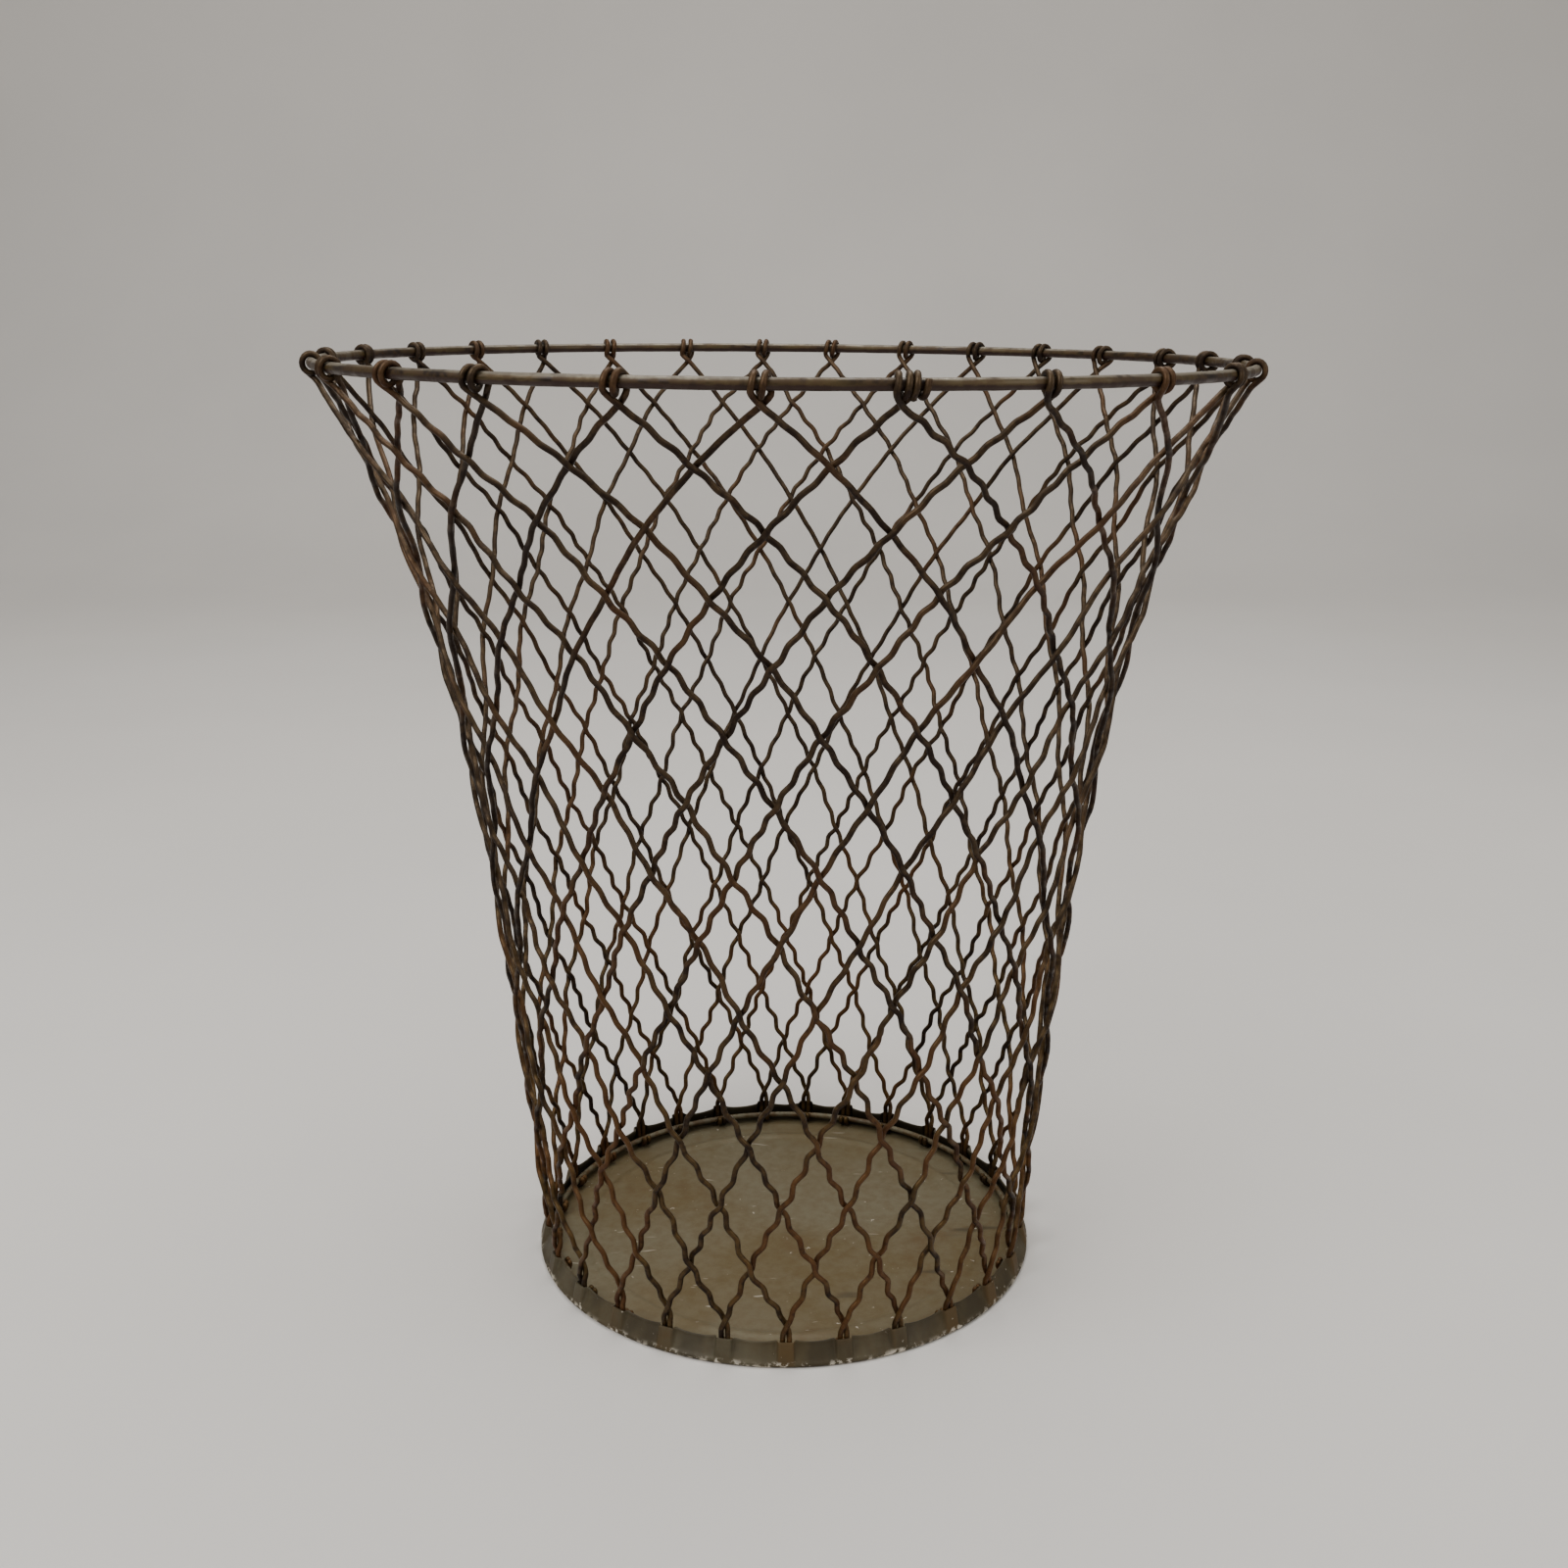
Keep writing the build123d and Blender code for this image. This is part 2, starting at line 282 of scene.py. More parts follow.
def hook_points(sizes, index, side):
    """End of a leg: a short stub beside its neighbour, then round the hoop."""
    angle = net_angle(sizes, index + side * sizes.rows / 2, sizes.rows)
    along = side * END_SPACING / 2
    hook = (HOOP_DIAMETER + sizes.wire_diameter) / 2 + HOOP_GAP
    top = row_height(sizes.rows)
    swing = weave(sizes, sizes.rows, side) * STUB_SWING
    points = [
        place(angle, HOOP_RADIUS + hook + swing, top - STUB_DROP / 2, along * 0.75),
        place(angle, HOOP_RADIUS + hook, top - STUB_DROP, along),
    ]
    first, last = HOOK_TURN
    for degrees in range(first, last - 1, -30):
        turn = math.radians(degrees)
        radius = HOOP_RADIUS + hook * math.cos(turn)
        points.append(place(angle, radius, HOOP_HEIGHT + hook * math.sin(turn), along))
    return points


def winding(sizes, angle, turns, start_along, pitch):
    """Turns round the rim rod, from one angle to another in degrees."""
    first, last = turns
    reach = (ROD_DIAMETER + sizes.wire_diameter) / 2 + HITCH_GAP
    step = 24 if last > first else -24
    points = []
    for degrees in range(first, last + (1 if step > 0 else -1), step):
        turn = math.radians(degrees)
        along = start_along + abs(degrees - first) / 360 * pitch
        radius = RIM_RADIUS + reach * math.cos(turn)
        height = RIM_HEIGHT - HITCH_SAG + (reach + HITCH_SAG) * math.sin(turn)
        points.append(place(angle, radius, height, along))
    return points


def smooth_path(points, spacing):
    """Even points along a centripetal Catmull-Rom curve."""
    control = np.array(points, float)
    control = np.vstack([2 * control[0] - control[1], control, 2 * control[-1] - control[-2]])
    dense = []
    for p0, p1, p2, p3 in zip(control, control[1:], control[2:], control[3:]):
        knots = [0.0]
        for a, b in ((p0, p1), (p1, p2), (p2, p3)):
            knots.append(knots[-1] + max(np.linalg.norm(b - a), 1e-9) ** 0.5)
        t = np.linspace(knots[1], knots[2], 12, endpoint=False)[:, None]
        t0, t1, t2, t3 = knots
        a1 = (t1 - t) / (t1 - t0) * p0 + (t - t0) / (t1 - t0) * p1
        a2 = (t2 - t) / (t2 - t1) * p1 + (t - t1) / (t2 - t1) * p2
        a3 = (t3 - t) / (t3 - t2) * p2 + (t - t2) / (t3 - t2) * p3
        b1 = (t2 - t) / (t2 - t0) * a1 + (t - t0) / (t2 - t0) * a2
        b2 = (t3 - t) / (t3 - t1) * a2 + (t - t1) / (t3 - t1) * a3
        dense.append((t2 - t) / (t2 - t1) * b1 + (t - t1) / (t2 - t1) * b2)
    dense = np.vstack(dense + [control[-2][None, :]])
    run = run_length(dense)
    count = max(int(run[-1] / spacing), 4)
    even = np.linspace(0, run[-1], count)
    return np.stack([np.interp(even, run, dense[:, axis]) for axis in range(3)], 1)


def run_length(path):
    """Distance from the first point to each point of a path."""
    return np.concatenate([[0.0], np.cumsum(np.linalg.norm(np.diff(path, axis=0), axis=1))])


def directions(path):
    """Unit directions along a path."""
    ahead = np.gradient(path, axis=0)
    return ahead / np.linalg.norm(ahead, axis=1)[:, None]


def slow_noise(run, wavelength, draw):
    """A smooth random value between -1 and 1 along a length."""
    knots = int(run[-1] / wavelength) + 3
    values = [draw.uniform(-1, 1) for _ in range(knots)]
    return np.interp(run / wavelength, range(knots), values)


def crimp(sizes, path, legs, draw):
    """The waves left in a wire by the machine that bent it, on both its legs."""
    run = run_length(path)
    ahead = directions(path)
    out = path * np.array([1.0, 1.0, 0.0])
    out /= np.linalg.norm(out, axis=1)[:, None]
    across = np.cross(ahead, out)
    across /= np.linalg.norm(across, axis=1)[:, None]
    shift = np.zeros_like(path)
    for start, end in legs:
        strength = draw.choice(WAVE_STRENGTHS)
        inside = (run >= start) & (run <= end)
        local = np.clip(np.minimum(run - start, end - run) / WAVE_FADE, 0, 1)
        fade = local * local * (3 - 2 * local) * inside
        depth = np.clip((RIM_HEIGHT - path[:, 2]) / WAVE_GROWTH_HEIGHT, 0, 1)
        gain = (WAVE_STRENGTH_LOW_DOWN - strength) * depth**1.5
        grown = (0.6 + 0.4 * depth) * (strength + gain)
        wave_length = sizes.crimp_length * draw.uniform(0.94, 1.06)
        phase = 2 * math.pi * (run - start) / wave_length + draw.uniform(0, 6.28)
        phase += 0.7 * slow_noise(run, 40 * MM, draw)
        uneven = 1 + 0.2 * slow_noise(run, 16 * MM, draw)
        height = sizes.crimp_height * grown * uneven * fade
        wave = np.sin(phase) - np.sin(3 * phase) / 20
        side_wave = np.sin(phase * 0.5 + 1.0)
        shift += across * (height * wave)[:, None]
        shift += out * (0.22 * height * side_wave)[:, None]
    return path + shift


# ---------------------------------------------------------------- meshes

def new_object(name, verts, faces, material):
    """A smooth mesh object that rides on the basket."""
    mesh = bpy.data.meshes.new(name)
    mesh.from_pydata(verts, [], faces)
    mesh.validate()
    mesh.polygons.foreach_set("use_smooth", [True] * len(mesh.polygons))
    mesh.update()
    piece = bpy.data.objects.new(name, mesh)
    bpy.context.scene.collection.objects.link(piece)
    mesh.materials.append(material)
    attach(piece, BODY)
    return piece


def tube(path, radii, sides, closed):
    """Vertices and faces of a round bar along a path."""
    count = len(path)
    ahead = directions(path)
    if closed:
        ahead = np.roll(path, -1, axis=0) - np.roll(path, 1, axis=0)
        ahead /= np.linalg.norm(ahead, axis=1)[:, None]
    side = np.cross(ahead[0], (0.0, 0.0, 1.0))
    if np.linalg.norm(side) < 0.1:
        side = np.cross(ahead[0], (1.0, 0.0, 0.0))
    turn = np.arange(sides) * 2 * math.pi / sides
    rings = []
    for centre, forward, radius in zip(path, ahead, radii):
        side = side - forward * np.dot(side, forward)
        side /= np.linalg.norm(side)
        up = np.cross(forward, side)
        ring = np.outer(np.cos(turn), side) + np.outer(np.sin(turn), up)
        rings.append(centre + ring * radius)
    verts = np.vstack(rings)
    faces = []
    for i in range(count if closed else count - 1):
        low, high = i * sides, (i + 1) % count * sides
        for j in range(sides):
            k = (j + 1) % sides
            faces.append((low + j, low + k, high + k, high + j))
    if not closed:
        verts = np.vstack([verts, path[0] - ahead[0] * radii[0] * 0.35,
                           path[-1] + ahead[-1] * radii[-1] * 0.35])
        first_tip, last_tip = len(verts) - 2, len(verts) - 1
        last = (count - 1) * sides
        for j in range(sides):
            k = (j + 1) % sides
            faces.append((first_tip, k, j))
            faces.append((last_tip, last + j, last + k))
    return verts.tolist(), faces


def round_bar(name, path, diameter, sides, material, draw, closed=False):
    """A bar with slightly uneven thickness along a path."""
    run = run_length(path)
    uneven = 1 + 0.025 * slow_noise(run, 7 * MM, draw)
    if closed:
        uneven[-1] = uneven[0]
    verts, faces = tube(path, diameter / 2 * uneven, sides, closed)
    return new_object(name, verts, faces, material)


def ring_path(radius, height, dip, stray, count, draw):
    """A closed ring that strays a little from round and flat."""
    turn = np.arange(count) * 2 * math.pi / count
    out = np.zeros(count)
    up = np.zeros(count)
    for waves in (2, 3, 5, 8, 13):
        out += np.sin(waves * turn + draw.uniform(0, 6.28)) * stray / waves
        up += np.sin(waves * turn + draw.uniform(0, 6.28)) * stray / waves
    x = (radius + out - stray) * np.cos(turn)
    y = (radius + out - stray) * np.sin(turn)
    return np.stack([x, y, height + up - dip * x], 1)


# ---------------------------------------------------------------- shader helpers

class Sheet:
    """A node tree being filled from left to right."""

    def __init__(self, tree):
        self.tree = tree
        self.column = 0

    def add(self, kind, **inputs):
        """Adds a node; inputs are sockets to link or plain values, by socket name."""
        node = self.tree.nodes.new(kind)
        node.location = (self.column * 190, 0)
        self.column += 1
        for key, value in inputs.items():
            socket = node.inputs[key.replace("_", " ")]
            self.feed(socket, value)
        return node

    def feed(self, socket, value):
        """Links an output or sets a value."""
        if isinstance(value, bpy.types.NodeSocket):
            self.tree.links.new(value, socket)
        elif hasattr(value, "__len__") and socket.type == "RGBA" and len(value) == 3:
            socket.default_value = (*value, 1.0)
        else:
            socket.default_value = value

    def noise(self, vector, scale, detail=4.0, rough=0.55, stretch=None):
        """Noise value over the surface, optionally stretched along an axis."""
        if stretch is not None:
            mapping = self.add("ShaderNodeMapping", Vector=vector, Scale=stretch)
            vector = mapping.outputs["Vector"]
        node = self.add("ShaderNodeTexNoise", Vector=vector, Scale=scale, Detail=detail,
                        Roughness=rough)
        return node.outputs["Fac"]

    def spots(self, vector, scale, randomness=1.0):
        """Distance to the nearest of many scattered points."""
        node = self.add("ShaderNodeTexVoronoi", Vector=vector, Scale=scale,
                        Randomness=randomness)
        return node.outputs["Distance"]

    def math(self, operation, a, b=0.0, c=0.0, clamp=False):
        """One arithmetic step."""
        node = self.add("ShaderNodeMath")
        node.operation = operation
        node.use_clamp = clamp
        for socket, value in zip(node.inputs, (a, b, c)):
            self.feed(socket, value)
        return node.outputs[0]

    def between(self, value, low, high, to_low=0.0, to_high=1.0):
        """A value moved from one range to another, smoothly and clamped."""
        node = self.add("ShaderNodeMapRange")
        node.interpolation_type = "SMOOTHSTEP"
        for name, number in (("Value", value), ("From Min", low), ("From Max", high),
                             ("To Min", to_low), ("To Max", to_high)):
            self.feed(node.inputs[name], number)
        return node.outputs["Result"]

    def blend(self, share, a, b, mode="MIX"):
        """Mixes two colours by a share."""
        node = self.add("ShaderNodeMix")
        node.data_type = "RGBA"
        node.blend_type = mode
        node.clamp_factor = True
        self.feed(node.inputs[0], share)
        self.feed(node.inputs[6], a)
        self.feed(node.inputs[7], b)
        return node.outputs[2]

    def group(self, tree, **inputs):
        """Places a node group."""
        node = self.tree.nodes.new("ShaderNodeGroup")
        node.node_tree = tree
        node.location = (self.column * 190, 200)
        self.column += 1
        for key, value in inputs.items():
            self.feed(node.inputs[key.replace("_", " ")], value)
        return node


def make_group(name, inputs, outputs):
    """An empty node group with named float inputs and outputs."""
    tree = bpy.data.node_groups.new(name, "ShaderNodeTree")
    for label, default in inputs:
        socket = tree.interface.new_socket(label, in_out="INPUT", socket_type="NodeSocketFloat")
        socket.default_value = default
    for label in outputs:
        tree.interface.new_socket(label, in_out="OUTPUT", socket_type="NodeSocketFloat")
    return tree


def aged_metal_group():
    """Patches, blotches, pits and fine grain of old uncared-for metal."""
    name = "aged_metal"
    if name in bpy.data.node_groups:
        return bpy.data.node_groups[name]
    inputs = (("Patch Scale", 30.0), ("Blotch Scale", 160.0), ("Grain Scale", 1200.0))
    tree = make_group(name, inputs, ("Patches", "Blotches", "Grain", "Pits", "Relief"))
    sheet = Sheet(tree)
    given = sheet.add("NodeGroupInput")
    where = sheet.add("ShaderNodeTexCoord").outputs["Object"]
    patches = sheet.noise(where, given.outputs["Patch Scale"], 5.0, 0.6)
    blotches = sheet.noise(where, given.outputs["Blotch Scale"], 4.0, 0.6)
    grain = sheet.noise(where, given.outputs["Grain Scale"], 3.0, 0.6)
    cells = sheet.spots(where, given.outputs["Blotch Scale"])
    pits = sheet.between(cells, 0.05, 0.32, 1.0, 0.0)
    relief = sheet.math("MULTIPLY_ADD", grain, 0.5, blotches)
    relief = sheet.math("MULTIPLY_ADD", pits, -0.5, relief)
    given_back = sheet.add("NodeGroupOutput")
    sheet.feed(given_back.inputs["Patches"], sheet.between(patches, 0.36, 0.64))
    sheet.feed(given_back.inputs["Blotches"], sheet.between(blotches, 0.38, 0.62))
    sheet.feed(given_back.inputs["Grain"], grain)
    sheet.feed(given_back.inputs["Pits"], pits)
    sheet.feed(given_back.inputs["Relief"], relief)
    return tree


def lie_group():
    """Where dust lies and hands rub, and where light falls: how far the surface faces up or down,
    and its height. Facing up carries wear with a painted highlight, facing down carries painted
    shade.
    """
    name = "lie_of_surface"
    if name in bpy.data.node_groups:
        return bpy.data.node_groups[name]
    tree = make_group(name, (("Low", 0.0), ("High", 0.3)), ("Up", "Down", "Height"))
    sheet = Sheet(tree)
    given = sheet.add("NodeGroupInput")
    coordinates = sheet.add("ShaderNodeTexCoord")
    facing = sheet.add("ShaderNodeSeparateXYZ", Vector=coordinates.outputs["Normal"])
    spot = sheet.add("ShaderNodeSeparateXYZ", Vector=coordinates.outputs["Object"])
    given_back = sheet.add("NodeGroupOutput")
    sheet.feed(given_back.inputs["Up"], sheet.between(facing.outputs["Z"], 0.1, 0.9))
    sheet.feed(given_back.inputs["Down"], sheet.between(facing.outputs["Z"], 0.15, -0.7))
    height = sheet.between(spot.outputs["Z"], given.outputs["Low"], given.outputs["High"])
    sheet.feed(given_back.inputs["Height"], height)
    return tree


def start_material(name):
    """A material with its surface shader and an empty sheet."""
    if name in bpy.data.materials:
        return bpy.data.materials[name], None, None
    material = bpy.data.materials.new(name)
    material.use_nodes = True
    shader = material.node_tree.nodes["Principled BSDF"]
    return material, Sheet(material.node_tree), shader


def finish_surface(sheet, shader, colour, roughness, relief, strength, depth):
    """Links colour, roughness and relief to the surface shader."""
    bump = sheet.add("ShaderNodeBump", Height=relief)
    bump.inputs["Strength"].default_value = strength
    bump.inputs["Distance"].default_value = depth
    sheet.feed(shader.inputs["Base Color"], colour)
    sheet.feed(shader.inputs["Roughness"], roughness)
    sheet.feed(shader.inputs["Normal"], bump.outputs["Normal"])


def wire_material(finish):
    """Dark brown oxide with olive wear and rust that gathers low down, lighter on upward faces
    from wear and a painted highlight, darker on downward faces from painted shade.
    """
    material, sheet, shader = start_material("net_wire_oxide")
    if sheet is None:
        return material
    aged = sheet.group(aged_metal_group(), Patch_Scale=22.0, Blotch_Scale=240.0,
                       Grain_Scale=1500.0)
    lie = sheet.group(lie_group(), Low=0.02, High=0.22)
    worn_and_lit = sheet.math("MULTIPLY_ADD", aged.outputs["Blotches"], 0.5, 0.05)
    worn_and_lit = sheet.math("MULTIPLY_ADD", aged.outputs["Patches"], 0.4, worn_and_lit)
    # Upward faces lighter: wear plus a painted highlight. Downward faces darker: painted shade.
    worn_and_lit = sheet.math("MULTIPLY_ADD", lie.outputs["Up"], 0.35, worn_and_lit, clamp=True)
    worn_and_lit = sheet.math("MULTIPLY_ADD", lie.outputs["Down"], -0.5, worn_and_lit, clamp=True)
    tone = sheet.blend(lie.outputs["Height"], tuple(finish.wire_olive), tuple(finish.wire_grey))
    colour = sheet.blend(worn_and_lit, tuple(finish.wire_dark), tone)
    low = sheet.math("MULTIPLY_ADD", lie.outputs["Height"], -0.4, 1.1)
    rust = sheet.math("MULTIPLY", low, aged.outputs["Patches"])
    rust = sheet.between(rust, 0.3, 1.0, 0.0, 0.55)
    colour = sheet.blend(rust, colour, tuple(finish.wire_rust))
    crust = sheet.math("MULTIPLY", aged.outputs["Pits"], 0.6)
    colour = sheet.blend(crust, colour, tuple(finish.wire_dark))
    shade = sheet.between(aged.outputs["Grain"], 0.3, 0.7, 0.65, 1.0)
    colour = sheet.blend(0.6, colour, colour_of(sheet, shade), "MULTIPLY")
    roughness = sheet.between(aged.outputs["Blotches"], 0.0, 1.0, 0.62, 0.42)
    shader.inputs["Metallic"].default_value = 0.5
    shader.inputs["Specular IOR Level"].default_value = 0.3
    finish_surface(sheet, shader, colour, roughness, aged.outputs["Relief"], 0.4, 0.12 * MM)
    return material


def colour_of(sheet, value):
    """A grey colour from a value."""
    node = sheet.add("ShaderNodeCombineColor", Red=value, Green=value, Blue=value)
    return node.outputs["Color"]


def rod_material(finish):
    """Rim rod: grey from rubbing and a painted highlight on top, golden lacquer in patches, rust
    and painted shade beneath.
    """
    material, sheet, shader = start_material("rim_rod_patina")
    if sheet is None:
        return material
    aged = sheet.group(aged_metal_group(), Patch_Scale=24.0, Blotch_Scale=190.0,
                       Grain_Scale=1400.0)
    lie = sheet.group(lie_group(), Low=0.3, High=0.4)
    where = sheet.add("ShaderNodeTexCoord").outputs["Object"]
    lengths = sheet.between(sheet.noise(where, 42.0, 2.0, 0.5), 0.42, 0.58)
    colour = sheet.blend(lengths, tuple(finish.wire_dark), tuple(finish.rod_gold))
    brown = sheet.math("MULTIPLY", aged.outputs["Blotches"], 0.5)
    colour = sheet.blend(brown, colour, tuple(finish.wire_olive))
    # Lighter on top: wear from rubbing plus a painted highlight.
    rubbed_and_lit = sheet.math("MULTIPLY_ADD", aged.outputs["Patches"], 0.5, lie.outputs["Up"])
    rubbed_and_lit = sheet.math("MULTIPLY_ADD", aged.outputs["Pits"], -0.25, rubbed_and_lit)
    rubbed_and_lit = sheet.between(rubbed_and_lit, 0.75, 1.35)
    colour = sheet.blend(rubbed_and_lit, colour, tuple(finish.rod_grey))
    # Darker underneath: rust plus painted shade.
    under = sheet.math("MULTIPLY_ADD", aged.outputs["Blotches"], 0.4, lie.outputs["Down"])
    under = sheet.between(under, 0.15, 0.8)
    colour = sheet.blend(under, colour, tuple(finish.rod_rust_and_shade))
    pits = sheet.math("MULTIPLY", aged.outputs["Pits"], 0.5)
    colour = sheet.blend(pits, colour, tuple(finish.wire_dark))
    roughness = sheet.between(aged.outputs["Blotches"], 0.0, 1.0, 0.38, 0.58)
    shader.inputs["Metallic"].default_value = 0.45
    finish_surface(sheet, shader, colour, roughness, aged.outputs["Relief"], 0.3, 0.12 * MM)
    return material


def pan_material(finish):
    """Dull olive-grey sheet with clouds, brown stains, scratches, pale flakes, and a wall
    darkened by soiling and painted shade.
    """
    material, sheet, shader = start_material("pan_sheet_patina")
    if sheet is None:
        return material
    aged = sheet.group(aged_metal_group(), Patch_Scale=16.0, Blotch_Scale=60.0,
                       Grain_Scale=900.0)
    where = sheet.add("ShaderNodeTexCoord").outputs["Object"]
    spot = sheet.add("ShaderNodeSeparateXYZ", Vector=where)
    across = sheet.add("ShaderNodeCombineXYZ", X=spot.outputs["X"], Y=spot.outputs["Y"])
    reach = sheet.add("ShaderNodeVectorMath", Vector=across.outputs["Vector"])
    reach.operation = "LENGTH"
    radius = reach.outputs["Value"]
    clouds = sheet.between(sheet.noise(where, 9.0, 3.0, 0.5), 0.40, 0.60)
    clouds = sheet.math("MULTIPLY_ADD", aged.outputs["Patches"], 0.45, clouds)
    clouds = sheet.math("MULTIPLY", clouds, 0.7, clamp=True)
    colour = sheet.blend(clouds, tuple(finish.pan_grey), tuple(finish.pan_olive))
    fine = sheet.between(sheet.noise(where, 260.0, 6.0, 0.75), 0.36, 0.64, 0.0, 0.4)
    colour = sheet.blend(fine, colour, tuple(finish.pan_stain))
    mottle = sheet.between(sheet.noise(where, 85.0, 5.0, 0.7), 0.42, 0.66, 0.0, 0.35)
    colour = sheet.blend(mottle, colour, tuple(finish.pan_grey))
    rings = sheet.add("ShaderNodeCombineXYZ", X=radius, Y=0.0, Z=0.0).outputs["Vector"]
    rings = sheet.between(sheet.noise(rings, 260.0, 2.0, 0.5), 0.5, 0.72, 0.0, 0.15)
    colour = sheet.blend(rings, colour, tuple(finish.pan_grey))
    stains = sheet.between(sheet.noise(where, 24.0, 6.0, 0.65), 0.52, 0.74, 0.0, 0.7)
    colour = sheet.blend(stains, colour, tuple(finish.pan_stain))
    smears = sheet.noise(where, 70.0, 3.0, 0.5, stretch=(0.25, 1.0, 1.0))
    smears = sheet.between(smears, 0.64, 0.74, 0.0, 0.6)
    colour = sheet.blend(smears, colour, tuple(finish.pan_grime_and_shade))
    # Darker where the wall is grimy, with painted shade there too, strongest on the inner wall.
    grime_and_shade = sheet.add("ShaderNodeAttribute")
    grime_and_shade.attribute_name = "grime_and_shade"
    streaks = sheet.noise(where, 75.0, 3.0, 0.55, stretch=(1.0, 1.0, 0.2))
    dirt_and_shade = sheet.between(streaks, 0.35, 0.65, 0.85, 1.35)
    dirt_and_shade = sheet.math("MULTIPLY", dirt_and_shade, grime_and_shade.outputs["Fac"], clamp=True)
    colour = sheet.blend(dirt_and_shade, colour, tuple(finish.pan_grime_and_shade))
    pleats = sheet.add("ShaderNodeAttribute")
    pleats.attribute_name = "pleat"
    rust = sheet.between(aged.outputs["Patches"], 0.0, 1.0, 0.0, 0.75)
    rust = sheet.math("MULTIPLY", pleats.outputs["Fac"], rust)
    colour = sheet.blend(rust, colour, tuple(finish.pan_stain))
    scratches = scratch_mask(sheet, where)
    colour = sheet.blend(scratches, colour, tuple(finish.pan_chip))
    flakes = sheet.between(sheet.noise(where, 330.0, 3.0, 0.6), 0.68, 0.71)
    rare = sheet.between(sheet.noise(where, 35.0, 3.0, 0.6), 0.50, 0.60)
    flakes = sheet.math("MULTIPLY", flakes, rare)
    edge = sheet.add("ShaderNodeAttribute")
    edge.attribute_name = "foot_edge"
    crust = sheet.between(sheet.noise(where, 300.0, 5.0, 0.7), 0.50, 0.56)
    crust = sheet.math("MULTIPLY", crust, sheet.between(edge.outputs["Fac"], 0.1, 0.55))
    pale = sheet.math("MAXIMUM", sheet.math("MULTIPLY", flakes, 0.75), crust)
    colour = sheet.blend(pale, colour, tuple(finish.pan_chip))
    roughness = sheet.between(aged.outputs["Patches"], 0.0, 1.0, 0.55, 0.72)
    relief = sheet.math("MULTIPLY_ADD", scratches, -0.6, aged.outputs["Relief"])
    relief = sheet.math("MULTIPLY_ADD", pale, 0.8, relief)
    shader.inputs["Metallic"].default_value = 0.2
    shader.inputs["Specular IOR Level"].default_value = 0.35
    finish_surface(sheet, shader, colour, roughness, relief, 0.35, 0.15 * MM)
    return material


def scratch_mask(sheet, where):
    """A few thin bent scratches in many directions."""
    bend = sheet.add("ShaderNodeTexNoise", Vector=where, Scale=14.0, Detail=2.0)
    bend = sheet.add("ShaderNodeVectorMath", Vector=bend.outputs["Color"])
    bend.operation = "SCALE"
    bend.inputs["Scale"].default_value = 0.03
    bent = sheet.add("ShaderNodeVectorMath", Vector=where)
    bent.operation = "ADD"
    sheet.feed(bent.inputs[1], bend.outputs["Vector"])
    total = None
    for turn, scale in ((0.5, 260.0), (1.4, 330.0), (2.3, 290.0), (2.9, 380.0)):
        mapping = sheet.add("ShaderNodeMapping", Vector=bent.outputs["Vector"])
        mapping.inputs["Rotation"].default_value = (0.0, 0.0, turn)
        mapping.inputs["Scale"].default_value = (0.08, 1.0, 1.0)
        lines = sheet.noise(mapping.outputs["Vector"], scale, 2.0, 0.5)
        lines = sheet.between(lines, 0.745, 0.78, 0.0, 0.45)
        total = lines if total is None else sheet.math("MAXIMUM", total, lines)
    return total


def hoop_material(finish):
    """Dusty grey-brown wire under the pan's wall."""
    material, sheet, shader = start_material("hoop_wire_dusty")
    if sheet is None:
        return material
    aged = sheet.group(aged_metal_group(), Patch_Scale=40.0, Blotch_Scale=260.0,
                       Grain_Scale=1300.0)
    colour = sheet.blend(aged.outputs["Blotches"], tuple(finish.pan_grey),
                         tuple(finish.pan_stain))
    dark = sheet.math("MULTIPLY", aged.outputs["Patches"], 0.4)
    colour = sheet.blend(dark, colour, tuple(finish.wire_dark))
    roughness = sheet.between(aged.outputs["Grain"], 0.3, 0.7, 0.45, 0.7)
    shader.inputs["Metallic"].default_value = 0.3
    finish_surface(sheet, shader, colour, roughness, aged.outputs["Relief"], 0.3, 0.1 * MM)
    return material


def floor_material(stage):
    """Plain pale floor with the faintest unevenness."""
    material, sheet, shader = start_material("pale_floor")
    if sheet is None:
        return material
    where = sheet.add("ShaderNodeTexCoord").outputs["Object"]
    cloud = sheet.noise(where, 3.0, 3.0, 0.5)
    shade = sheet.between(cloud, 0.3, 0.7, 0.96, 1.0)
    colour = sheet.blend(1.0, tuple(stage.floor), colour_of(sheet, shade), "MULTIPLY")
    sheet.feed(shader.inputs["Base Color"], colour)
    shader.inputs["Roughness"].default_value = 0.75
    return material


# ---------------------------------------------------------------- the pan

def pleat_share(sizes, angle):
    """How far an angle is inside a pleat, and how near it is to a pleat's middle."""
    stations = [net_angle(sizes, k + sizes.rows / 2, sizes.rows) for k in range(len(WIRE_NODES))]
    away = min(abs((angle - s + math.pi) % (2 * math.pi) - math.pi) for s in stations)
    distance = away * PAN_RADIUS
    half = sizes.pleat_width / 2
    inside = np.clip((half + 0.5 * MM - distance) / (1.0 * MM), 0, 1)
    spacing = 2 * math.pi * PAN_RADIUS / len(WIRE_NODES)
    near = np.clip((distance - 2.2 * MM) / (spacing / 2 - 2.2 * MM), 0, 1)
    return float(inside * inside * (3 - 2 * inside)), float((1 - near) ** 2.4)


